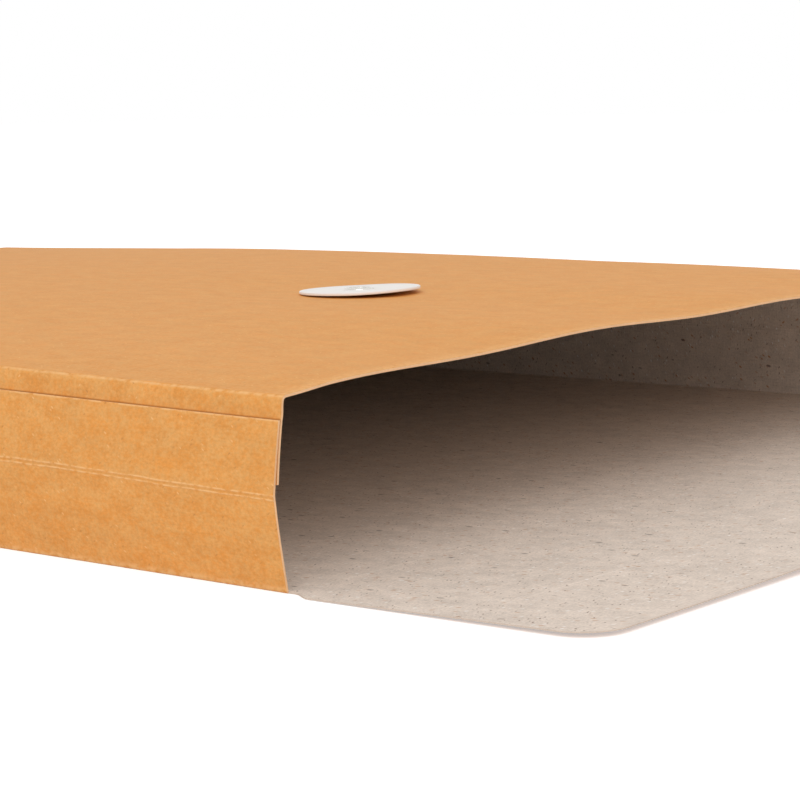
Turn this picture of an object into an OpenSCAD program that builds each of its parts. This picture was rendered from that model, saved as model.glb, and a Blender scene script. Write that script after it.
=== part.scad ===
// Kraft document envelope standing open: two panels joined by three scored walls,
// a closing flap with two scores, and two round string buttons held by eyelets.
// X runs across the mouth, the mouth faces -Y, Z is up from the back panel.

/* [Envelope] */
// width of the front and back panels between their side folds
panel_w = 240; // [200:1:300]
// length of the panels from the mouth fold to the closed end's fold
panel_l = 335; // [250:1:400]
// height of the walls over both panels
wall_h = 30; // [20:0.5:45]
// thickness of the kraft board
board_t = 0.4; // [0.3:0.05:0.6]
// rise of the front panel's middle over its side folds
crown = 2.5; // [1:0.25:5]
// outward lean of each wall half while the envelope stands open
wall_lean = 6; // [3:0.5:10]

/* [Seams] */
// drop of the lapped wall's cut edge below the front fold
seam_drop = 3.3; // [2:0.1:6]
// depth of the front sheet's glue tabs inside the walls
tab_depth = 13; // [8:0.25:13]
// distance of the mouth edges behind the flap's fold
mouth_set = 0.6; // [0.4:0.05:2]
// extra setback of the mouth edge at the wall's middle score
mouth_scoop = 0.7; // [0:0.05:2]
// reach of the glue tabs past the lapped wall towards the mouth
tab_reach = 0.2; // [0:0.05:1]
// depth of the pressed score beside the wall's middle fold
score_depth = 0.12; // [0.05:0.01:0.2]
// width of the pressed score
score_w = 0.35; // [0.2:0.05:0.6]

/* [Flap] */
// length of the closing flap from its fold to its free edge
flap_l = 56; // [50:0.5:80]
// radius of the flap's two free corners
flap_corner = 7; // [3:0.5:20]
// inset of the flap's side edges from the side folds
flap_inset = 0.6; // [0.3:0.1:5]
// radius of the relief cut beside the flap's fold
relief_r = 1.8; // [0.5:0.1:4]

/* [Buttons] */
// diameter of the front button's disc
front_disc_d = 25.5; // [16:0.5:30]
// diameter of the flap button's disc
flap_disc_d = 22.5; // [16:0.5:30]
// thickness of each button disc
disc_t = 0.7; // [0.5:0.05:1.2]
// gap under each disc, where the string winds
disc_gap = 0.1; // [0.05:0.05:0.5]
// distance of the front button's centre from the mouth fold
front_button_in = 87; // [40:1:150]
// distance of the flap button's centre from the flap's free edge
flap_button_in = 11.9; // [11:0.1:25]
// diameter of the eyelet's rolled head
eyelet_head_d = 6; // [4.5:0.1:8]
// outer diameter of the eyelet's barrel
eyelet_barrel_d = 3.6; // [3:0.1:4.5]
// inner diameter of the eyelet's barrel
eyelet_bore_d = 2.4; // [1.5:0.1:3.5]
// thickness of the eyelet's rolled metal
eyelet_t = 0.25; // [0.2:0.05:0.4]

/* [Hidden] */
kraft = [0.73, 0.38, 0.16];
card = [0.9, 0.88, 0.85];
metal = [0.62, 0.6, 0.56];
half_w = panel_w / 2;
gap = 0.03;
// length of one wall half, so that two leaning halves and two boards make wall_h
half_h = ((wall_h - 2 * board_t) / 2 - board_t * sin(wall_lean)) / cos(wall_lean);
// how far the walls' middle scores stand outside the panels' folds
bulge = half_h * sin(wall_lean);
// inner radius of the front panel's arc
crown_r = (half_w * half_w + crown * crown) / (2 * crown);
// the flap's first stretch clears the crowned front panel when the flap is closed
spine_l = wall_h + crown + 0.6 - board_t;
// height of a button over the board
button_h = disc_gap + disc_t + 0.05 + eyelet_t;
flap_button_r = flap_l - flap_button_in;
// the open flap lies on its own button, which tips it up a little
flap_tilt = asin(button_h / (flap_button_r - eyelet_head_d / 2));
mouth_y = (flap_l * cos(flap_tilt) - panel_l - bulge) / 2;
end_y = mouth_y + panel_l;

// a board cut to an outline of [along, up] points, thickness towards the inside,
// hung on the left fold of the back panel
module at_back_fold(lean) {
    translate([-half_w, mouth_y, board_t]) rotate([0, -lean, 0]) rotate([90, 0, 90]) children();
}

// the same on the left fold of the front panel, where the outline runs downwards
module at_front_fold(lean) {
    translate([-half_w, mouth_y, wall_h - board_t]) rotate([0, lean, 0]) rotate([90, 0, 90]) children();
}

// carries something from the left fold to the closed end's fold
module to_end() {
    translate([0, end_y, 0]) rotate([0, 0, -90]) translate([half_w, -mouth_y, 0]) children();
}

// from the flap's fold, along the tipped flap
module at_flap() {
    translate([0, mouth_y, board_t]) rotate([-flap_tilt, 0, 0]) children();
}

// from the front panel's crest, above the front button's eyelet
module at_front_button() {
    translate([0, mouth_y + front_button_in, wall_h + crown]) children();
}

// from the flap's outer face, facing down while the flap lies open
module at_flap_button() {
    at_flap() translate([0, -flap_button_r, -board_t]) rotate([180, 0, 0]) children();
}

function mouth_edge(up) = mouth_set + mouth_scoop * up / half_h;
function crown_at(x) = sqrt(crown_r * crown_r - x * x) - crown_r + crown;
function closed_edge(up) = panel_l - board_t - 0.15 + bulge * up / half_h;

// a shallow groove pressed into the outer face, just off the middle fold
module score(from, to, up) {
    translate([from, up - score_w / 2, -1]) cube([to - from, score_w, 1 + score_depth]);
}

module wall_lower() {
    difference() {
        linear_extrude(board_t) polygon([[mouth_edge(0), gap], [closed_edge(0), gap],
            [closed_edge(half_h), half_h - gap], [mouth_edge(half_h) + tab_reach, half_h - gap]]);
        score(-5, panel_l + 5, half_h - 0.7);
    }
}

module wall_upper() {
    linear_extrude(board_t) polygon([[mouth_edge(seam_drop) + tab_reach, -seam_drop],
        [closed_edge(seam_drop), -seam_drop], [closed_edge(half_h), gap - half_h],
        [mouth_edge(half_h) + tab_reach, gap - half_h]]);
}

module glue_tab() {
    tab_end = panel_l - 2 * board_t - 0.15;
    translate([0, 0, board_t + gap]) linear_extrude(board_t)
        polygon([[mouth_edge(0), -gap], [tab_end, -gap],
            [tab_end, -tab_depth], [mouth_edge(tab_depth), -tab_depth]]);
}

module end_lower() {
    difference() {
        linear_extrude(board_t) polygon([[-half_w, gap], [half_w, gap],
            [half_w + bulge, half_h - gap], [-half_w - bulge, half_h - gap]]);
        score(-half_w - 5, half_w + 5, half_h - 0.7);
    }
}

module end_upper() {
    flare = bulge * seam_drop / half_h;
    linear_extrude(board_t) polygon([[-half_w - flare, -seam_drop], [half_w + flare, -seam_drop],
        [half_w + bulge, gap - half_h], [-half_w - bulge, gap - half_h]]);
}

// the rolled eyelet, from the board's outer face upwards
module eyelet() {
    low = -board_t - gap - eyelet_t;
    bore_r = eyelet_bore_d / 2;
    clinch_r = eyelet_head_d / 2 - 0.3;
    rotate_extrude($fn = 72) {
        translate([bore_r, low]) square([(eyelet_barrel_d - eyelet_bore_d) / 2, button_h - low]);
        translate([bore_r, button_h - eyelet_t]) square([(eyelet_head_d - eyelet_t) / 2 - bore_r, eyelet_t]);
        translate([(eyelet_head_d - eyelet_t) / 2, button_h - eyelet_t / 2]) circle(d = eyelet_t, $fn = 24);
        translate([bore_r, low]) square([clinch_r - eyelet_t / 2 - bore_r, eyelet_t]);
        translate([clinch_r - eyelet_t / 2, low + eyelet_t / 2]) circle(d = eyelet_t, $fn = 24);
    }
}

// the card disc, turning freely on the barrel
module disc(d) {
    translate([0, 0, disc_gap]) difference() {
        cylinder(d = d, h = disc_t, $fn = 120);
        translate([0, 0, -1]) cylinder(d = eyelet_barrel_d + 0.16, h = disc_t + 2, $fn = 72);
    }
}

// the hole that the eyelet's barrel passes through
module barrel_hole() {
    translate([0, 0, -5]) cylinder(d = eyelet_barrel_d + 0.1, h = 10, $fn = 72);
}

module back_panel() {
    color(kraft) translate([-half_w, mouth_y, 0]) cube([panel_w, panel_l, board_t]);
}

module front_panel() {
    color(kraft) difference() {
        translate([0, end_y, wall_h - board_t + crown - crown_r]) rotate([90, 0, 0])
            linear_extrude(panel_l - mouth_set) intersection() {
                difference() {
                    circle(r = crown_r + board_t, $fn = 1440);
                    circle(r = crown_r, $fn = 1440);
                }
                translate([-half_w, crown_r - crown - 1]) square([panel_w, crown + 3]);
            }
        at_front_button() barrel_hole();
    }
}

module left_wall_lower() {
    color(kraft) at_back_fold(wall_lean) wall_lower();
}

module left_wall_upper() {
    color(kraft) at_front_fold(wall_lean) wall_upper();
}

module left_glue_tab() {
    color(kraft) at_front_fold(wall_lean) glue_tab();
}

module right_wall_lower() {
    mirror([1, 0, 0]) left_wall_lower();
}

module right_wall_upper() {
    mirror([1, 0, 0]) left_wall_upper();
}

module right_glue_tab() {
    mirror([1, 0, 0]) left_glue_tab();
}

module end_wall_lower() {
    color(kraft) to_end() at_back_fold(wall_lean) end_lower();
}

module end_wall_upper() {
    color(kraft) to_end() at_front_fold(wall_lean) end_upper();
}

// its top edge follows the underside of the crowned front panel
module end_glue_tab() {
    wide = half_w - 2 * board_t - 0.25;
    steps = 16;
    crest = [for (i = [steps:-1:-steps]) [wide * i / steps, crown_at(wide * i / steps) - 2 * gap]];
    color(kraft) to_end() at_front_fold(wall_lean)
        translate([0, 0, board_t + gap]) linear_extrude(board_t)
            polygon(concat([[-wide, -tab_depth], [wide, -tab_depth]], crest));
}

module flap_spine() {
    color(kraft) at_flap() translate([0, 0, -board_t]) linear_extrude(board_t) difference() {
        translate([flap_inset - half_w, -spine_l + gap]) square([panel_w - 2 * flap_inset, spine_l - 2 * gap]);
        for (side = [-1, 1]) translate([side * half_w, -relief_r * 0.6]) circle(r = relief_r, $fn = 48);
    }
}

module flap_tongue() {
    wide = panel_w - 2 * flap_inset;
    color(kraft) difference() {
        at_flap() translate([0, 0, -board_t]) linear_extrude(board_t) {
            translate([-wide / 2, flap_corner - flap_l]) square([wide, flap_l - spine_l - flap_corner - gap]);
            translate([flap_corner - wide / 2, -flap_l]) square([wide - 2 * flap_corner, flap_corner + 1]);
            for (side = [-1, 1]) translate([side * (wide / 2 - flap_corner), flap_corner - flap_l])
                circle(r = flap_corner, $fn = 96);
        }
        at_flap_button() barrel_hole();
    }
}

module front_button_disc() {
    color(card) at_front_button() disc(front_disc_d);
}

module front_button_eyelet() {
    color(metal) at_front_button() eyelet();
}

module flap_button_disc() {
    color(card) at_flap_button() disc(flap_disc_d);
}

module flap_button_eyelet() {
    color(metal) at_flap_button() eyelet();
}

back_panel();
front_panel();
left_wall_lower();
left_wall_upper();
left_glue_tab();
right_wall_lower();
right_wall_upper();
right_glue_tab();
end_wall_lower();
end_wall_upper();
end_glue_tab();
flap_spine();
flap_tongue();
front_button_disc();
front_button_eyelet();
flap_button_disc();
flap_button_eyelet();
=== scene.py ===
import bpy
import bmesh
import math
from mathutils import Matrix, Vector, noise


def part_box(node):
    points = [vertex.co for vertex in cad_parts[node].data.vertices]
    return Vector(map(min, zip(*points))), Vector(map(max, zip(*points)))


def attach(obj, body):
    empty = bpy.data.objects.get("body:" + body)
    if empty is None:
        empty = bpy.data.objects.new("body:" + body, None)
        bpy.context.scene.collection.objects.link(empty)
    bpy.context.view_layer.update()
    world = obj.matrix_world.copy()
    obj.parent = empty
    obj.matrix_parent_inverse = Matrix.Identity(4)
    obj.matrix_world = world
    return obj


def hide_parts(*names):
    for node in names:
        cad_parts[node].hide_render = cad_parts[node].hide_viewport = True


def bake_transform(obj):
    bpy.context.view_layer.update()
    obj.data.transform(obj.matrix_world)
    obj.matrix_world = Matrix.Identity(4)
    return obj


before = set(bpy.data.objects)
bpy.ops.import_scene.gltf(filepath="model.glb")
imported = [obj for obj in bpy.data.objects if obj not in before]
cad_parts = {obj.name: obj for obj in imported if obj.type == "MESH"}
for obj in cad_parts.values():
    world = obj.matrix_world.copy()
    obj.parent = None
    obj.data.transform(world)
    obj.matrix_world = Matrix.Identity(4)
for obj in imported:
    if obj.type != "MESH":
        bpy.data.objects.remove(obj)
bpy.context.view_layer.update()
mm = 0.001  # the sheets are laid out in millimetres and placed in metres
print("frame loaded:", len(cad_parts), "nodes")

# the envelope's own lines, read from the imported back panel
backLow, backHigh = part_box("back_panel")
envelope = {
    "halfWidth": backHigh.x / mm,
    "mouthY": backLow.y / mm,
    "endY": backHigh.y / mm,
    "tall": 30.0,  # both panels and the walls
    "board": 0.4,
    "halfWall": 14.68,  # one wall half along the board
    "seamDrop": 3.3,  # lapped wall's cut edge below the front fold
    "swell": 1.05,  # the folds stand higher past the mouth
    "sag": 2.4,  # and lower towards the closed end
    "foldRadius": 1.0,
    "footRadius": 0.3,
}
halfWidth, mouthY, endY = envelope["halfWidth"], envelope["mouthY"], envelope["endY"]
tall, board, halfWall = envelope["tall"], envelope["board"], envelope["halfWall"]
foldRadius, footRadius = envelope["foldRadius"], envelope["footRadius"]
panelLength = endY - mouthY


def clamp(v, low=0.0, high=1.0):
    return min(max(v, low), high)


def ease(start, end, v):
    t = clamp((v - start) / (end - start))
    return t * t * (3 - 2 * t)


def spaced(*runs):
    # positions along a sheet from runs of (start, end, steps), each shared end once
    places = [a + (b - a) * i / n for a, b, n in runs for i in range(n)]
    return places + [runs[-1][1]]


def ripple(a, b, size, seed):
    # soft unevenness of the board, about -1 to 1
    return noise.noise(Vector((a / size, b / size, seed)))


def edgeSwell(v):
    # height of the front folds over the plain walls, v from the mouth to the closed end
    return envelope["swell"] * ease(-0.03, 0.28, v) - envelope["sag"] * ease(0.62, 1.08, v) - 0.15


def lifted(up, swell):
    return up + swell * clamp(up / (tall - foldRadius)) ** 1.6


# materials

def sRgb(red, green, blue):
    def one(c):
        c /= 255
        return c / 12.92 if c <= 0.04045 else ((c + 0.055) / 1.055) ** 2.4
    return one(red), one(green), one(blue), 1.0


def addNode(tree, kind, values=None, **settings):
    node = tree.nodes.new(kind)
    for key, value in settings.items():
        setattr(node, key, value)
    for key, value in (values or {}).items():
        node.inputs[key].default_value = value
    return node


def newGroup(name, inputs, outputs):
    tree = bpy.data.node_groups.new(name, "ShaderNodeTree")
    for socketName, kind, value in inputs:
        socket = tree.interface.new_socket(socketName, in_out="INPUT", socket_type=kind)
        if value is not None:
            socket.default_value = value
    for socketName, kind in outputs:
        tree.interface.new_socket(socketName, in_out="OUTPUT", socket_type=kind)
    return tree, tree.nodes.new("NodeGroupInput"), tree.nodes.new("NodeGroupOutput")


def feed(tree, value, socket):
    # value is another node's socket, or a fixed number or colour
    if isinstance(value, bpy.types.NodeSocket):
        tree.links.new(value, socket)
    else:
        socket.default_value = value


def mixColor(tree, factor, a, b):
    node = addNode(tree, "ShaderNodeMix", data_type="RGBA", blend_type="MIX")
    for value, place in ((factor, 0), (a, 6), (b, 7)):  # 6 and 7 are the two colours
        feed(tree, value, node.inputs[place])
    return node.outputs[2]


def math2(tree, operation, a, b):
    node = addNode(tree, "ShaderNodeMath", operation=operation)
    feed(tree, a, node.inputs[0])
    feed(tree, b, node.inputs[1])
    return node.outputs[0]


def stretched(tree, position, scale, turn=0.0):
    node = addNode(tree, "ShaderNodeMapping", {"Scale": scale, "Rotation": (0, 0, turn)})
    tree.links.new(position, node.inputs["Vector"])
    return node.outputs[0]


def ramp(tree, value, low, high):
    node = addNode(tree, "ShaderNodeMapRange", {"From Min": low, "From Max": high},
                   interpolation_type="SMOOTHSTEP")
    tree.links.new(value, node.inputs["Value"])
    return node.outputs[0]


def grainNoise(tree, position, scale, detail, roughness=0.5):
    node = addNode(tree, "ShaderNodeTexNoise", {"Scale": scale, "Detail": detail, "Roughness": roughness})
    tree.links.new(position, node.inputs["Vector"])
    return node.outputs[0]


# what all the board and card is made of, as (stretch, per millimetre, detail, turn)
pulp = {
    "spots": ((1, 1, 1), 2.4, 3.0, 0.0), "spotShare": 0.6,
    "drifts": ((1, 0.7, 1), 0.28, 3.0, 0.0), "driftShare": 0.4,
    "strandsA": ((3.2, 0.28, 1), 1.0, 2.0, 0.35), "strandsB": ((0.3, 3.0, 1), 1.0, 2.0, -0.3),
    "roughness": 0.66,
    "fleckStretch": (1.0, 0.45, 1.0), "fleckRim": 0.34, "fleckCore": 0.16,
}


def buildFibreGroup():
    # pulp clouds and matted fibres, on the sheet's own flat millimetres
    tree, given, result = newGroup(
        "paperFibre",
        [("Position", "NodeSocketVector", None), ("Base", "NodeSocketColor", None),
         ("Cloud", "NodeSocketFloat", 0.1), ("Fibre", "NodeSocketFloat", 0.1)],
        [("Color", "NodeSocketColor"), ("Height", "NodeSocketFloat")])
    position = given.outputs["Position"]

    def layer(name):
        stretch, scale, detail, turn = pulp[name]
        return grainNoise(tree, stretched(tree, position, stretch, turn), scale, detail, pulp["roughness"])

    def lightened(value, amount):
        # how far a layer lightens or darkens the base
        return math2(tree, "MULTIPLY", math2(tree, "SUBTRACT", value, 0.5), given.outputs[amount])

    spots, drifts = layer("spots"), layer("drifts")
    strands = math2(tree, "MULTIPLY", math2(tree, "ADD", layer("strandsA"), layer("strandsB")), 0.5)
    clouds = math2(tree, "ADD", math2(tree, "MULTIPLY", spots, pulp["spotShare"]),
                   math2(tree, "MULTIPLY", drifts, pulp["driftShare"]))
    shade = math2(tree, "ADD", math2(tree, "ADD", lightened(clouds, "Cloud"), lightened(strands, "Fibre")), 1.0)
    scaled = addNode(tree, "ShaderNodeVectorMath", operation="SCALE")
    tree.links.new(given.outputs["Base"], scaled.inputs[0])
    tree.links.new(shade, scaled.inputs["Scale"])
    tree.links.new(scaled.outputs[0], result.inputs["Color"])
    height = math2(tree, "ADD", math2(tree, "MULTIPLY", spots, 0.5), math2(tree, "MULTIPLY", strands, 0.5))
    tree.links.new(height, result.inputs["Height"])
    return tree


def buildFleckGroup():
    # scattered specks of other pulp, each a short drawn-out spot
    tree, given, result = newGroup(
        "pulpFleck",
        [("Position", "NodeSocketVector", None), ("Base", "NodeSocketColor", None),
         ("Fleck", "NodeSocketColor", None), ("Scale", "NodeSocketFloat", 1.0),
         ("Share", "NodeSocketFloat", 0.1), ("Turn", "NodeSocketFloat", 0.0)],
        [("Color", "NodeSocketColor")])
    turned = addNode(tree, "ShaderNodeVectorRotate", rotation_type="Z_AXIS")
    tree.links.new(given.outputs["Position"], turned.inputs["Vector"])
    tree.links.new(given.outputs["Turn"], turned.inputs["Angle"])
    drawn = stretched(tree, turned.outputs[0], pulp["fleckStretch"])
    cells = addNode(tree, "ShaderNodeTexVoronoi", {"Randomness": 1.0})
    tree.links.new(drawn, cells.inputs["Vector"])
    tree.links.new(given.outputs["Scale"], cells.inputs["Scale"])
    spot = ramp(tree, cells.outputs["Distance"], pulp["fleckRim"], pulp["fleckCore"])
    split = addNode(tree, "ShaderNodeSeparateColor")
    tree.links.new(cells.outputs["Color"], split.inputs[0])
    chosen = math2(tree, "LESS_THAN", split.outputs[0], given.outputs["Share"])
    strength = math2(tree, "MULTIPLY", split.outputs[1], math2(tree, "MULTIPLY", spot, chosen))
    tree.links.new(mixColor(tree, strength, given.outputs["Base"], given.outputs["Fleck"]),
                   result.inputs["Color"])
    return tree


fibreGroup = buildFibreGroup()
fleckGroup = buildFleckGroup()


def newMaterial(name, roughness, **fixed):
    material = bpy.data.materials.new(name)
    material.use_nodes = True
    tree = material.node_tree
    tree.nodes.clear()
    shader = addNode(tree, "ShaderNodeBsdfPrincipled", {"Roughness": roughness, **fixed})
    output = tree.nodes.new("ShaderNodeOutputMaterial")
    tree.links.new(shader.outputs[0], output.inputs["Surface"])
    return material, tree, shader


def readMark(tree, name):
    node = addNode(tree, "ShaderNodeAttribute", attribute_name=name)
    return node.outputs["Vector"] if name == "paper" else node.outputs["Fac"]


def placeGroup(tree, group, links, values=None):
    node = tree.nodes.new("ShaderNodeGroup")
    node.node_tree = group
    for key, socket in links.items():
        tree.links.new(socket, node.inputs[key])
    for key, value in (values or {}).items():
        node.inputs[key].default_value = value
    return node


def addFlecks(tree, position, color, flecks):
    # flecks are given as (colour, per millimetre, share of them, turn)
    for fleck, scale, share, turn in flecks:
        color = placeGroup(tree, fleckGroup, {"Position": position, "Base": color},
                           {"Fleck": fleck, "Scale": scale, "Share": share, "Turn": turn}).outputs["Color"]
    return color


def addBump(tree, shader, height, strength, distance):
    bump = addNode(tree, "ShaderNodeBump", {"Strength": strength, "Distance": distance})
    tree.links.new(height, bump.inputs["Height"])
    tree.links.new(bump.outputs[0], shader.inputs["Normal"])


kraft = {
    # face, warm tone and flecks are the board's own colour; the pale colour is rubbed wear, partly a painted
    # highlight along folds and cut edges
    "face": sRgb(223, 164, 96), "warm": sRgb(220, 147, 70), "paleWornAndHighlit": sRgb(240, 190, 130),
    # the dark colour is painted shade: in the lap seam's crevice, in the groove between the scores and along
    # the wall's foot
    "paintedShade": sRgb(150, 86, 34), "roughness": 0.66, "gloss": 0.19,
    "cloud": 0.7, "fibre": 0.18, "grain": 0.65,  # the pulp lies along the sheet
    # noises as (per millimetre, detail, roughness)
    "mottle": (1.3, 4.0, 0.7), "mottleShare": 0.7, "patches": (0.3, 2.0, 0.5), "patchShare": 0.36,
    "warmAt": 0.53, "warmSpread": 0.165,
    "rub": (1.1, 3.0, 0.5), "rubFrom": 0.34, "rubTo": 0.6,  # the pale wear and the painted highlight come in patches
    "flecks": ((sRgb(234, 181, 118), 2.4, 0.11, 0.9), (sRgb(201, 136, 73), 2.6, 0.1, 2.2)),  # pale and dark
    "bumpStrength": 0.35, "bumpDepth": 0.00003,
    "topContrast": 0.65,  # the front panel is smoother
}


def buildKraftFace(name, contrast):
    material, tree, shader = newMaterial(name, kraft["roughness"], **{"Specular IOR Level": kraft["gloss"]})
    paper = stretched(tree, readMark(tree, "paper"), (1, kraft["grain"], 1))
    mottle = math2(tree, "MULTIPLY", grainNoise(tree, paper, *kraft["mottle"]), kraft["mottleShare"])
    patches = math2(tree, "MULTIPLY", grainNoise(tree, paper, *kraft["patches"]), kraft["patchShare"])
    spread = kraft["warmSpread"] / contrast
    warmth = ramp(tree, math2(tree, "ADD", mottle, patches), kraft["warmAt"] - spread, kraft["warmAt"] + spread)
    fibre = placeGroup(tree, fibreGroup,
                       {"Position": paper, "Base": mixColor(tree, warmth, kraft["face"], kraft["warm"])},
                       {"Cloud": kraft["cloud"] * contrast, "Fibre": kraft["fibre"] * contrast})
    color = addFlecks(tree, paper, fibre.outputs["Color"], kraft["flecks"])
    # pale wear, partly painted highlight, broken into rubbed patches
    rub = ramp(tree, grainNoise(tree, paper, *kraft["rub"]), kraft["rubFrom"], kraft["rubTo"])
    paleWornAndHighlit = mixColor(tree, math2(tree, "MULTIPLY", readMark(tree, "wearAndHighlight"), rub), color, kraft["paleWornAndHighlit"])
    # painted shade from the second mark goes over the rest
    withPaintedShade = mixColor(tree, readMark(tree, "paintedShade"), paleWornAndHighlit, kraft["paintedShade"])
    tree.links.new(withPaintedShade, shader.inputs["Base Color"])
    addBump(tree, shader, fibre.outputs["Height"], kraft["bumpStrength"], kraft["bumpDepth"])
    return material


cutEdge = {
    "kraft": sRgb(231, 184, 138), "grey": sRgb(208, 189, 173), "roughness": 0.8,
    "cloud": 0.5, "fibre": 0.2, "bumpStrength": 0.5, "bumpDepth": 0.00004,
}


def buildCutEdge(name, color):
    material, tree, shader = newMaterial(name, cutEdge["roughness"])
    fibre = placeGroup(tree, fibreGroup, {"Position": readMark(tree, "paper")},
                       {"Base": color, "Cloud": cutEdge["cloud"], "Fibre": cutEdge["fibre"]})
    tree.links.new(fibre.outputs["Color"], shader.inputs["Base Color"])
    addBump(tree, shader, fibre.outputs["Height"], cutEdge["bumpStrength"], cutEdge["bumpDepth"])
    return material


liner = {
    "face": sRgb(220, 204, 190), "roughness": 0.78, "cloud": 1.25, "fibre": 0.6,
    "flecks": ((sRgb(188, 142, 104), 1.3, 0.3, 0.6), (sRgb(142, 120, 106), 1.9, 0.26, 2.0),
               (sRgb(248, 243, 238), 1.6, 0.26, 1.2), (sRgb(112, 92, 80), 0.9, 0.07, 0.2)),
    "bumpStrength": 0.4, "bumpDepth": 0.00003,
}


def buildLiner():
    # the grey inner side, made of recycled pulp with its specks
    material, tree, shader = newMaterial("greyLiner", liner["roughness"])
    paper = readMark(tree, "paper")
    fibre = placeGroup(tree, fibreGroup, {"Position": paper},
                       {"Base": liner["face"], "Cloud": liner["cloud"], "Fibre": liner["fibre"]})
    color = addFlecks(tree, paper, fibre.outputs["Color"], liner["flecks"])
    tree.links.new(color, shader.inputs["Base Color"])
    addBump(tree, shader, fibre.outputs["Height"], liner["bumpStrength"], liner["bumpDepth"])
    return material


# materials of a sheet's outer face, inner face and cut edge
kraftFace, greyLiner = buildKraftFace("kraftFace", 1.0), buildLiner()
wallBoard = [kraftFace, greyLiner, buildCutEdge("kraftCut", cutEdge["kraft"])]
topBoard = [buildKraftFace("kraftTop", kraft["topContrast"])] + wallBoard[1:]
flapBoard = [kraftFace, greyLiner, buildCutEdge("greyCut", cutEdge["grey"])]
print("paper materials ready")


sharpFrom = 0.7  # edges that turn further than this, in radians, stay sharp


def finishMesh(name, bm):
    for face in bm.faces:
        face.smooth = True
    for edge in bm.edges:
        edge.smooth = edge.calc_face_angle(0.0) < sharpFrom
    mesh = bpy.data.meshes.new(name)
    bm.to_mesh(mesh)
    bm.free()
    piece = bpy.data.objects.new(name, mesh)
    bpy.context.scene.collection.objects.link(piece)
    print("piece", name, len(mesh.polygons), "faces")
    return piece


# sheets: cut flat on a grid, then folded into place and given the board's thickness

def cutSheet(across, along):
    bm = bmesh.new()
    nx, ny = len(across) - 1, len(along) - 1
    bmesh.ops.create_grid(bm, x_segments=nx, y_segments=ny, size=0.5)
    for v in bm.verts:
        v.co = across[round((v.co.x + 0.5) * nx)], along[round((v.co.y + 0.5) * ny)], 0
    return bm


def punchHole(bm, a, b, radius):
    corner = min(bm.verts, key=lambda v: (v.co - Vector((a, b, 0))).length)
    made = bmesh.ops.bevel(bm, geom=[corner], offset=radius, offset_type="OFFSET", affect="VERTICES",
                           segments=6, profile=0.5, material=-1)
    bmesh.ops.delete(bm, geom=made["faces"], context="FACES")


def foldSheet(name, bm, place, marks, sheetNumber, faceDown=False, flat=None, boardMaterials=wallBoard,
              foldsFrom=None, pressed=None):
    # place gives the outer face's point in millimetres, marks its pale wear with painted highlight, and its
    # painted shade
    # flat gives the point on the unfolded sheet, where the cutting grid isn't in millimetres
    # past foldsFrom in y the sheet's edges are folds, so they show no cut
    # pressed gives the share of the board left at a point of the unfolded sheet
    paper = bm.verts.layers.float_vector.new("paper")
    # the first mark is pale wear, partly a painted highlight; the second is painted shade
    wearAndHighlight = bm.verts.layers.float.new("wearAndHighlight")
    paintedShade = bm.verts.layers.float.new("paintedShade")
    for v in bm.verts:
        a, b = v.co.x, v.co.y
        v[paper] = Vector((*(flat(a, b) if flat else (a, b)), 40.0 * sheetNumber))
        v[wearAndHighlight], v[paintedShade] = marks(a, b)
        v.co = Vector(place(a, b)) * mm
    if faceDown:
        bmesh.ops.reverse_faces(bm, faces=bm.faces[:])
    bm.normal_update()
    outer = bm.faces[:]
    onFace = {tuple(v[paper]): v.co.copy() for v in bm.verts}
    made = bmesh.ops.solidify(bm, geom=outer, thickness=board * mm)
    inner = {g for g in made["geom"] if isinstance(g, bmesh.types.BMFace)}
    known = set(outer)
    for v in {v for face in inner for v in face.verts} if pressed else ():
        v.co = onFace[tuple(v[paper])].lerp(v.co, pressed(v[paper].x, v[paper].y))
    for face in bm.faces:
        if face in known:
            face.material_index = 0
        elif face in inner:  # a fold pressed thin is kraft on both sides
            thin = pressed and min(pressed(v[paper].x, v[paper].y) for v in face.verts) < 0.5
            face.material_index = 0 if thin else 1
        else:
            folded = foldsFrom is not None and face.calc_center_median().y > foldsFrom * mm
            face.material_index = 0 if folded else 2
    piece = finishMesh(name, bm)
    for material in boardMaterials:
        piece.data.materials.append(material)
    return piece


# front panel: crowned, and a little wavy along the mouth
front = {
    "crown": 2.7, "crownIn": 1.1, "crownEnd": 0.7,  # the crown, and what it loses inwards and at the closed end
    "puff": 0.75, "puffWidth": 8.0,  # rise of the panel just inside its folds, halfway along
    "wave": 0.34, "waveLength": 68.0, "waveStart": -55.0, "waveFade": 60.0,
    "mouthSet": 0.6, "buttonIn": 87.0, "ripple": 0.12, "barrelHole": 1.85,
    "dimple": 0.45, "dimpleWidth": 40.0,  # the eyelet draws the panel in
}
buttonY = mouthY + front["buttonIn"]


def frontTop(x, y):
    q = (x + halfWidth) / (2 * halfWidth)
    v = (y - mouthY) / panelLength
    crown = front["crown"] - front["crownIn"] * ease(0, 0.5, v) - front["crownEnd"] * ease(0.5, 1.0, v)
    puff = front["puff"] * ease(0.2, 0.45, v) * (1 - ease(0.5, 0.95, v))
    puff *= ease(0, front["puffWidth"], halfWidth - foldRadius - abs(x))
    wave = front["wave"] * math.sin(math.tau * (x - front["waveStart"]) / front["waveLength"])
    wave *= math.exp(-(y - mouthY) / front["waveFade"])
    uneven = (wave + front["ripple"] * ripple(x, y, 55, 3.1)) * ease(0, 12, halfWidth - abs(x))
    dimple = front["dimple"] * math.exp(-(x * x + (y - buttonY) ** 2) / front["dimpleWidth"] ** 2)
    return tall + edgeSwell(v) + crown * (1 - abs(2 * q - 1) ** 2.6) + puff + uneven - dimple


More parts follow.
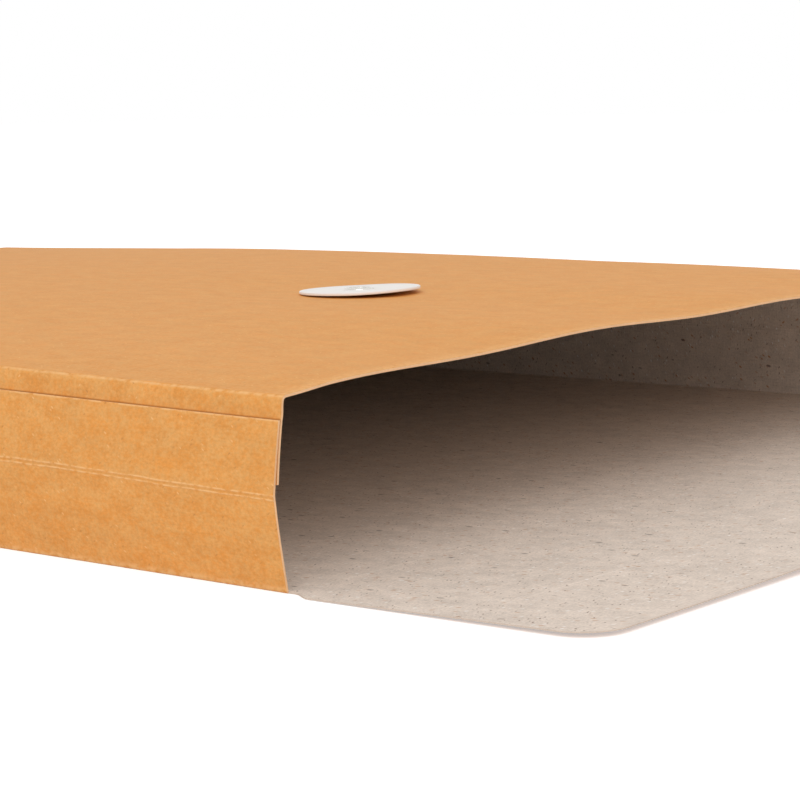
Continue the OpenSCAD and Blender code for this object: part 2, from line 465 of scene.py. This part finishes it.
def buildFrontPanel():
    edge = halfWidth - foldRadius
    bm = cutSheet(spaced((-edge, 10 - edge, 6), (10 - edge, 0, 26), (0, edge - 10, 26), (edge - 10, edge, 6)),
                  spaced((mouthY + front["mouthSet"], buttonY, 22), (buttonY, endY - foldRadius, 56)))
    punchHole(bm, 0, buttonY, front["barrelHole"])

    def place(x, y):
        return x, y, frontTop(x, y)

    def marks(x, y):
        return 0.55 * ease(0.5, 0.0, y - mouthY - front["mouthSet"]), 0

    piece = foldSheet("front_sheet", bm, place, marks, 1, boardMaterials=topBoard, foldsFrom=mouthY + 1)
    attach(piece, "front")
    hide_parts("front_panel")


# walls: two halves that bow outwards to the double score at their middle
wall = {
    "lean": 0.0987,  # mean lean of each half, in radians
    "scoreGap": 0.33, "scoreHalf": 0.2, "scoreRise": 0.09,  # the two ridges beside the middle
    "scoreDrop": 0.36, "scoreClimb": 0.75, "scoreClimbEnd": 56.0, "scoreWander": 0.14,
    "edgeCurl": 0.05, "ripple": 0.1, "mouthSet": 0.6, "mouthScoop": 0.7, "tabReach": 0.2,
    # pale wear at the cut edge, partly a painted highlight, and pale wear at the foot; painted shade along the
    # foot and in the score groove
    "cutWearAndHighlight": 0.9, "footWear": 0.7, "footPaintedShade": 0.12, "scorePaintedShade": 0.13,
}


def wallOut(s):
    # how far the outer face stands outside the fold, s along the board from the foot
    u = clamp(min(s, 2 * halfWall - s) / halfWall)
    return wall["lean"] * halfWall * (1.6 * u - 0.6 * u * u)


def wallUp(s):
    u = clamp(min(s, 2 * halfWall - s) / halfWall)
    z = board + halfWall * u - wall["lean"] ** 2 / 2 * halfWall * (2.56 * u - 1.92 * u * u + 0.48 * u ** 3)
    return z if s <= halfWall else tall - z


def scoreShift(along):
    # the double score lies a little below the middle at the mouth, and above it further in
    return wall["scoreDrop"] - wall["scoreClimb"] * ease(0, wall["scoreClimbEnd"], along)


def scoreLine(s, along):
    # 1 on each of the two pressed ridges beside the middle fold, which wander a little
    s += scoreShift(along) + wall["scoreWander"] * ripple(along, s * 0.6, 4.5, 8.8)
    return max(0.0, 1 - abs(abs(s - halfWall) - wall["scoreGap"]) / wall["scoreHalf"])


def wallSection(s, along, seed):
    # outward distance and height of the outer face
    if s < 0:  # the foot turns under the back panel
        turn = min(-s / footRadius, math.pi / 2)
        return -footRadius * (1 - math.cos(turn)), board * (1 - math.sin(turn))
    bend = math.sin(math.pi * clamp((s % halfWall) / halfWall))
    out = wallOut(s) + wall["ripple"] * bend * ripple(along, s * 2, 38, seed)
    out += wall["scoreRise"] * scoreLine(s, along) + wall["edgeCurl"] * ease(1.6, 0.0, wallTop - s)
    return out, wallUp(s)


wallTop = 2 * halfWall - envelope["seamDrop"]
wallRows = spaced((-footRadius * math.pi / 2, 0, 6), (0, 1, 4), (1, 13.2, 12), (13.2, 13.7, 3),
                  (13.7, 15.5, 30), (15.5, 16, 3), (16, 24.6, 9), (24.6, wallTop, 9))  # closest at the scores


def wallMarks(s, along):
    # pale wear on the score ridges and the foot, and on the cut edge together with a painted highlight
    wearAndHighlight = max(scoreLine(s, along), wall["cutWearAndHighlight"] * ease(0.35, 0.05, wallTop - s),
               wall["footWear"] * ease(0.9, 0.0, s))
    # painted shade along the foot and in the groove between the two scores
    betweenScores = max(0.0, 1 - abs(s + scoreShift(along) - halfWall) / 0.15)
    shade = max(wall["footPaintedShade"] * ease(0.25, -0.2, s), wall["scorePaintedShade"] * betweenScores)
    return wearAndHighlight, shade


def buildSideWall(name, side, nodes, seed):
    bm = cutSheet(wallRows, spaced((0, 12, 10), (12, 72, 50), (72, panelLength, 90)))

    def place(s, along):
        share = along / panelLength
        out, up = wallSection(s, along, seed)
        setBack = wall["mouthSet"] + wall["mouthScoop"] * (1 - abs(clamp(s, 0, 2 * halfWall) / halfWall - 1))
        setBack += wall["tabReach"] * ease(halfWall * 0.2, halfWall, s)
        closed = panelLength - board - 0.15 + max(out, 0)
        y = mouthY + setBack + (closed - setBack) * share
        return side * (halfWidth + out), y, lifted(up, edgeSwell(share))

    piece = foldSheet(name, bm, place, wallMarks, 2, faceDown=side > 0)
    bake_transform(piece)
    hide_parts(*nodes)


def buildEndWall():
    bm = cutSheet(wallRows, spaced((-1, 1, 70)))

    def place(s, across):
        out, up = wallSection(s, across * halfWidth, 7.7)
        return across * (halfWidth + max(out, 0) - 0.05), endY + out, lifted(up, edgeSwell(1.0))

    def marks(s, across):
        return wallMarks(s, across * halfWidth)

    piece = foldSheet("end_wall_sheet", bm, place, marks, 2, flat=lambda s, across: (s, across * halfWidth))
    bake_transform(piece)
    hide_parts("end_wall_lower", "end_wall_upper")


# glue tabs: they carry on from the front panel round its fold, and go down inside the walls
tab = {
    "depth": 13.0, "tuck": 0.44, "turn": math.radians(81), "cornerReach": 0.65,
    "turns": 0.45,  # share of the side folds' round that gives when the walls swing out
    "pressed": 0.1, "pressedFrom": 18.0, "pressedBy": 28.0,  # board left there, past the mouth
    # pale wear round the fold, partly its painted highlight, and painted shade in the crevice above the lapped
    # wall
    "foldWearAndHighlight": 0.7, "seamPaintedShade": 0.6,
}
tabRows = spaced((0, 1, 8), (1, 1.6, 3), (1.6, 2.0, 8), (2.0, 3.0, 5))  # to 1 the fold, to 2 the seam


def tabSection(row, crest, swell):
    # outward offset from the fold and height, for a panel edge at height crest
    turn = tab["turn"] * min(row, 1)
    arcOut, arcUp = -foldRadius * (1 - math.sin(turn)), crest - foldRadius * (1 - math.cos(turn))
    if row <= 1:
        return arcOut, arcUp
    start = arcUp - swell
    seamUp = tall - board - envelope["seamDrop"]
    foot = tall - board - tab["depth"]
    up = start + (seamUp - start) * (row - 1) if row <= 2 else seamUp + (foot - seamUp) * (row - 2)
    startTuck = wallOut(2 * halfWall - (tall - board - start)) - arcOut
    tuck = startTuck + (max(tab["tuck"], startTuck) - startTuck) * ease(1.0, 1.85, row)
    return wallOut(2 * halfWall - (tall - board - up)) - tuck, lifted(up, swell)


def tabFlat(row, along):
    return 1.4 * clamp(row) + 2.4 * clamp(row - 1) + 9.2 * clamp(row - 2) - 150, along


def tabPressed(down, along):
    left = max(ease(tabFlat(1.6, 0)[0], tabFlat(2, 0)[0], down),
               ease(tab["pressedBy"], tab["pressedFrom"], along))
    return tab["pressed"] + (1 - tab["pressed"]) * left


def tabMarks(row):
    # pale wear with painted highlight round the fold, painted shade just above the lapped wall's edge
    return tab["foldWearAndHighlight"] * ease(0.34, 0.0, abs(row - 0.45)), tab["seamPaintedShade"] * ease(1.9, 1.98, row)


def buildSideTab(name, side, node):
    last = panelLength - foldRadius
    bm = cutSheet(tabRows, spaced((0, 12, 8), (12, last, 64), (last, panelLength, 5)))

    def place(row, along):
        share = along / panelLength
        y = mouthY + along
        inner = min(y, endY - foldRadius)
        crest = frontTop(side * (halfWidth - foldRadius), inner)
        out, up = tabSection(row, crest, edgeSwell(share))
        past = y - inner  # the corner falls with the end fold too
        if past > 0:
            up = min(up, crest - foldRadius + math.sqrt(max(foldRadius ** 2 - past ** 2, 0)))
        # clear of the end wall, and set back at the mouth
        y -= share * (0.3 * ease(1.0, 1.2, row) + (2 * board - 0.15) * ease(2.0, 2.3, row))
        y += front["mouthSet"] * (1 - share)
        y += wall["mouthScoop"] * (1 - share) * clamp((row - 1) / 2) * 0.85
        return side * (halfWidth + out), y, up

    def marks(row, along):
        return tabMarks(row)

    piece = foldSheet(name, bm, place, marks, 1, faceDown=side < 0, flat=tabFlat, pressed=tabPressed)
    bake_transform(piece)
    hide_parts(node)


def buildEndTab():
    edge = halfWidth - foldRadius
    bm = cutSheet(tabRows, spaced((-edge, edge, 60)))

    def place(row, x):
        crest = frontTop(x, endY - foldRadius)
        out, up = tabSection(row, crest, edgeSwell(1.0))
        wide = 1 + tab["cornerReach"] / edge * (ease(0.3, 1.0, row) - ease(2.0, 2.2, row))
        return x * wide, endY + out, up

    def marks(row, x):
        return tabMarks(row)

    piece = foldSheet("end_glue_tab_sheet", bm, place, marks, 1, faceDown=True, flat=tabFlat)
    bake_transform(piece)
    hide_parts("end_glue_tab")


# back sheet: the back panel and the flap, grey side up
flap = {
    "length": 55.7, "spine": 32.7, "sideDrop": 0.5, "tilt": math.radians(1.5336), "corner": 7.0,
    "flare": 2.0, "flareOver": (0.8, 5.0),  # the sides step out past the fold, and taper to the free edge
    "thinEdge": 0.55, "thinWidth": 3.0,  # board left at the pressed cut, and how far in
    "scoreRise": 0.07, "ripple": 0.08, "buttonAt": 44.1,
}
flapButton = flap["buttonAt"]


def flapHalf(r):
    # half width of the sheet at a distance r beyond the flap's fold
    flare = flap["flare"] * ease(*flap["flareOver"], r) * (1 - r / flap["length"])
    half = halfWidth - footRadius + flare
    start = flap["length"] - flap["corner"]
    if r > start:
        half -= flap["corner"] - math.sqrt(max(flap["corner"] ** 2 - (r - start) ** 2, 0))
    return half


def flapPressed(a, r):
    fromEdge = min(flap["length"] - r, (1 - abs(a) / halfWidth) * flapHalf(r))
    thinned = ease(flap["thinWidth"], 0, fromEdge) * ease(*flap["flareOver"], r)
    return 1 - (1 - flap["thinEdge"]) * thinned


def flapPlace(a, r):
    x = a * flapHalf(r) / halfWidth
    if r <= 0:
        return x, mouthY - r, 0.0
    rise = (math.sqrt(r * r + 0.6) - 0.77) * math.sin(flap["tilt"])
    side = 1 - flap["sideDrop"] * ease(0.02, 0.82, abs(x) / halfWidth)
    up = rise * side + flap["ripple"] * ripple(x, r, 30, 5.3) * ease(4, 20, r) * side
    for line in (0.6, flap["spine"]):
        up += flap["scoreRise"] * max(0.0, 1 - abs(r - line) / 0.3)
    return x, mouthY - r, up


def flapMarks(a, r):
    score = max(max(0.0, 1 - abs(r - line) / 0.35) for line in (0, flap["spine"]))
    return 0.8 * score, 0


def buildBackSheet():
    inner = -(panelLength - footRadius)
    bm = cutSheet(spaced((-halfWidth, halfWidth, 60)),
                  spaced((inner, -1.5, 60), (-1.5, 3.0, 24), (3.0, 6.0, 8),
                         (6.0, flap["spine"] - 0.5, 12)))
    piece = foldSheet("back_sheet", bm, flapPlace, flapMarks, 2, boardMaterials=flapBoard,
                      foldsFrom=mouthY + wall["mouthSet"], pressed=flapPressed)
    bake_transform(piece)
    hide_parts("back_panel", "flap_spine")


def buildTongue():
    spine, length, corner = flap["spine"], flap["length"], flap["corner"]
    rows = spaced((spine - 0.5, spine + 0.6, 10), (spine + 0.6, flapButton, 6),
                  (flapButton, length - corner, 4))
    rows += [length - corner + corner * math.sin(math.radians(90 * i / 12)) for i in range(1, 13)]
    bm = cutSheet(spaced((-halfWidth, 0, 30), (0, halfWidth, 30)), rows)
    piece = foldSheet("flap_tongue_sheet", bm, flapPlace, flapMarks, 2, boardMaterials=flapBoard,
                      pressed=flapPressed)
    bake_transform(piece)
    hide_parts("flap_tongue")


buildFrontPanel()
buildSideWall("left_wall_sheet", -1, ("left_wall_lower", "left_wall_upper"),
              1.4)
buildSideWall("right_wall_sheet", 1, ("right_wall_lower", "right_wall_upper"),
              4.2)
buildEndWall()
buildSideTab("left_glue_tab_sheet", -1, "left_glue_tab")
buildSideTab("right_glue_tab_sheet", 1, "right_glue_tab")
buildEndTab()
buildBackSheet()
buildTongue()
print("sheets folded")


# string buttons: a card disc and a rolled eyelet
button = {
    "frontRadius": 12.75, "frontThick": 0.6, "frontDish": 0.25, "frontLift": 0.4,
    "flapRadius": 11.25, "flapThick": 0.45, "flapDish": 0.15, "flapLift": 0.1,
    "frontLean": math.radians(-1.0), "frontTip": math.radians(-1.0), "frontCurl": 0.3,
    "edge": 0.17, "bore": 1.88, "dishRoom": 0.35,
    "eyeletHead": 3.2, "eyeletBore": 1.2, "barrel": 1.8, "flange": 2.7, "metal": 0.25, "roll": 0.45,
}
card = {
    "face": sRgb(238, 233, 228), "roughness": 0.6, "cloud": 0.08, "fibre": 0.06,
    "bumpStrength": 0.3, "bumpDepth": 0.00002,
}
eyeletMetal = {
    "dark": sRgb(196, 192, 184), "bright": sRgb(240, 237, 231), "smoothest": 0.12, "roughest": 0.32,
    "brushed": (2400.0, 3.0), "brushedStretch": (1, 1, 0.2),  # per metre, and detail
}


def buildCard():
    material, tree, shader = newMaterial("whiteCard", card["roughness"])
    position = addNode(tree, "ShaderNodeTexCoord").outputs["Object"]
    inMillimetres = stretched(tree, position, (1 / mm, 1 / mm, 1 / mm))
    fibre = placeGroup(tree, fibreGroup, {"Position": inMillimetres},
                       {"Base": card["face"], "Cloud": card["cloud"], "Fibre": card["fibre"]})
    tree.links.new(fibre.outputs["Color"], shader.inputs["Base Color"])
    addBump(tree, shader, fibre.outputs["Height"], card["bumpStrength"], card["bumpDepth"])
    return material


def buildEyeletMetal():
    material, tree, shader = newMaterial("eyeletMetal", eyeletMetal["smoothest"], Metallic=1.0)
    position = addNode(tree, "ShaderNodeTexCoord").outputs["Object"]
    drawn = stretched(tree, position, eyeletMetal["brushedStretch"])
    brushed = grainNoise(tree, drawn, *eyeletMetal["brushed"])
    tree.links.new(mixColor(tree, brushed, eyeletMetal["dark"], eyeletMetal["bright"]),
                   shader.inputs["Base Color"])
    rough = addNode(tree, "ShaderNodeMapRange",
                    {"To Min": eyeletMetal["smoothest"], "To Max": eyeletMetal["roughest"]})
    tree.links.new(brushed, rough.inputs["Value"])
    tree.links.new(rough.outputs[0], shader.inputs["Roughness"])
    return material


cardMaterial, eyeletMaterial = buildCard(), buildEyeletMetal()
sideways = Vector((0.635, -0.772))  # the side on which the front disc stands off the panel


def turnedPiece(name, section, place, curl=0.0, steps=72):
    # spins a closed half section of (radius, height) millimetres, curls its rim up on one side, and places it
    bm = bmesh.new()
    ring = [bm.verts.new((r * mm, 0, z * mm)) for r, z in section]
    edges = [bm.edges.new((ring[i], ring[(i + 1) % len(ring)])) for i in range(len(ring))]
    bmesh.ops.spin(bm, geom=ring + edges, axis=(0, 0, 1), cent=(0, 0, 0), steps=steps, angle=math.tau,
                   use_merge=True)
    bmesh.ops.remove_doubles(bm, verts=bm.verts[:], dist=0.000005)
    bmesh.ops.recalc_face_normals(bm, faces=bm.faces[:])
    for v in bm.verts:
        out = v.co.xy.length / (button["frontRadius"] * mm)
        v.co.z += curl * mm * out ** 2 * ease(-0.2, 1.0, v.co.xy.normalized() @ sideways)
    bmesh.ops.transform(bm, matrix=place, verts=bm.verts[:])
    return finishMesh(name, bm)


def discSection(rim, low, thick, dish):
    # pressed in round the eyelet
    high, edge, bore = low + thick, button["edge"], button["bore"]
    hollow = button["eyeletHead"] + button["dishRoom"]
    return [(bore, low), (rim * 0.5, low), (rim - edge, low), (rim - edge * 0.3, low + edge * 0.3),
            (rim, low + edge), (rim, high - edge), (rim - edge * 0.3, high - edge * 0.3), (rim - edge, high),
            (rim * 0.5, high), (hollow + 0.5, high), (hollow, high - dish), (bore, high - dish)]


def eyeletSection(seat):
    # a barrel with a rolled head above the disc and a flange under the board
    base = seat + 0.12
    low = -board - 0.03 - button["metal"]
    head, bore, barrel = button["eyeletHead"], button["eyeletBore"], button["barrel"]
    flange, metal, roll = button["flange"], button["metal"], button["roll"]
    ring = [(head - roll + roll * math.cos(a), base + roll * math.sin(a))
            for a in (math.radians(160 - 20 * i) for i in range(9))]
    return [(bore, low + 0.1), (bore, base - 0.2), (bore + 0.1, base), (bore + 0.35, base + roll * 0.3), *ring,
            (barrel + 0.1, base), (barrel, base - 0.1), (barrel, low + metal), (flange - 0.1, low + metal),
            (flange, low + metal * 0.5), (flange - 0.1, low), (bore + 0.1, low)]


def buildButton(prefix, place, discTurn, discBody, eyeletBody, curl):
    rim, lift, thick, dish = (button[prefix + k] for k in ("Radius", "Lift", "Thick", "Dish"))
    disc = turnedPiece(prefix + "_disc", discSection(rim, lift, thick, dish), place @ discTurn, curl)
    eyelet = turnedPiece(prefix + "_eyelet", eyeletSection(lift + thick - dish), place)
    for piece, material, body, slot, node in (
            (disc, cardMaterial, discBody, "white_card", prefix + "_button_disc"),
            (eyelet, eyeletMaterial, eyeletBody, "eyelet_metal", prefix + "_button_eyelet")):
        piece.data.materials.append(material)
        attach(piece, body)
        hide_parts(node)


frontPlace = Matrix.Translation(Vector((0, buttonY, frontTop(0, buttonY))) * mm)
frontTurn = Matrix.Rotation(button["frontLean"], 4, Vector((-sideways.y, sideways.x, 0)))
frontTurn = Matrix.Rotation(button["frontTip"], 4, sideways.to_3d()) @ frontTurn
buildButton("front", frontPlace, frontTurn, "front_disc", "front", button["frontCurl"])
flapPlaced = Matrix.Translation(Vector(flapPlace(0, flapButton)) * mm)
flapTurn = Matrix.Rotation(math.pi - flap["tilt"], 4, "X")  # it faces down while the flap is open
buildButton("flap", flapPlaced @ flapTurn, Matrix.Identity(4), "flap_disc", "tongue", 0.0)
print("buttons set")


# camera at the photograph's angle
view = {"at": (-0.37541, -0.37252, 0.07348), "yaw": 39.452, "pitch": 7.359, "roll": -1.135, "lens": 105.77}


def buildCamera():
    yaw, pitch, roll = (math.radians(view[k]) for k in ("yaw", "pitch", "roll"))
    level = Vector((math.cos(yaw), math.sin(yaw), 0))
    up = Vector((0, 0, 1))
    across = level.cross(up)
    ahead = level * math.cos(pitch) - up * math.sin(pitch)
    over = level * math.sin(pitch) + up * math.cos(pitch)
    right = across * math.cos(roll) + over * math.sin(roll)
    top = over * math.cos(roll) - across * math.sin(roll)
    data = bpy.data.cameras.new("camera")
    data.lens, data.sensor_width = view["lens"], 36.0
    data.clip_start, data.clip_end = 0.01, 50.0
    camera = bpy.data.objects.new("camera", data)
    turn = Matrix((right, top, -ahead)).transposed().to_4x4()
    camera.matrix_world = Matrix.Translation(view["at"]) @ turn
    bpy.context.scene.collection.objects.link(camera)
    bpy.context.scene.camera = camera


# plain white studio
studio = {
    "sky": 0.79, "white": (1, 1, 1, 1), "keyWatts": 7.4, "keySize": 1.2, "keyAt": (-1.0, -0.75, 0.95),
    "floor": sRgb(244, 244, 244), "floorLift": 0.42, "floorReach": 6.0, "floorDrop": 0.00003,
}


def seenRays(tree):
    path = tree.nodes.new("ShaderNodeLightPath")
    seen = math2(tree, "MAXIMUM", path.outputs["Is Camera Ray"], path.outputs["Is Glossy Ray"])
    return math2(tree, "MAXIMUM", seen, path.outputs["Is Transmission Ray"])


def buildStudio():
    world = bpy.data.worlds.new("studio")
    world.use_nodes = True
    tree = world.node_tree
    tree.nodes.clear()
    soft = addNode(tree, "ShaderNodeBackground", {"Color": studio["white"], "Strength": studio["sky"]})
    white = addNode(tree, "ShaderNodeBackground", {"Color": studio["white"], "Strength": 1.0})
    mix = tree.nodes.new("ShaderNodeMixShader")
    output = tree.nodes.new("ShaderNodeOutputWorld")
    tree.links.new(seenRays(tree), mix.inputs[0])
    tree.links.new(soft.outputs[0], mix.inputs[1])
    tree.links.new(white.outputs[0], mix.inputs[2])
    tree.links.new(mix.outputs[0], output.inputs["Surface"])
    bpy.context.scene.world = world

    bm = bmesh.new()
    bmesh.ops.create_grid(bm, x_segments=1, y_segments=1, size=studio["floorReach"])
    bmesh.ops.translate(bm, verts=bm.verts[:], vec=(0, 0, -studio["floorDrop"]))
    floor = finishMesh("floor", bm)
    material, tree, shader = newMaterial("paleFloor", 0.9, **{
        "Base Color": studio["floor"], "Specular IOR Level": 0.0, "Emission Color": studio["white"]})
    glow = math2(tree, "MULTIPLY", seenRays(tree), studio["floorLift"])
    tree.links.new(glow, shader.inputs["Emission Strength"])
    floor.data.materials.append(material)

    data = bpy.data.lights.new("key", "AREA")
    data.energy, data.size = studio["keyWatts"], studio["keySize"]
    key = bpy.data.objects.new("key", data)
    at = Vector(studio["keyAt"])
    key.matrix_world = Matrix.Translation(at) @ (-at).to_track_quat("-Z", "Y").to_matrix().to_4x4()
    bpy.context.scene.collection.objects.link(key)


buildCamera()
buildStudio()
bpy.context.scene.view_settings.view_transform = "Standard"
print("camera and studio ready")
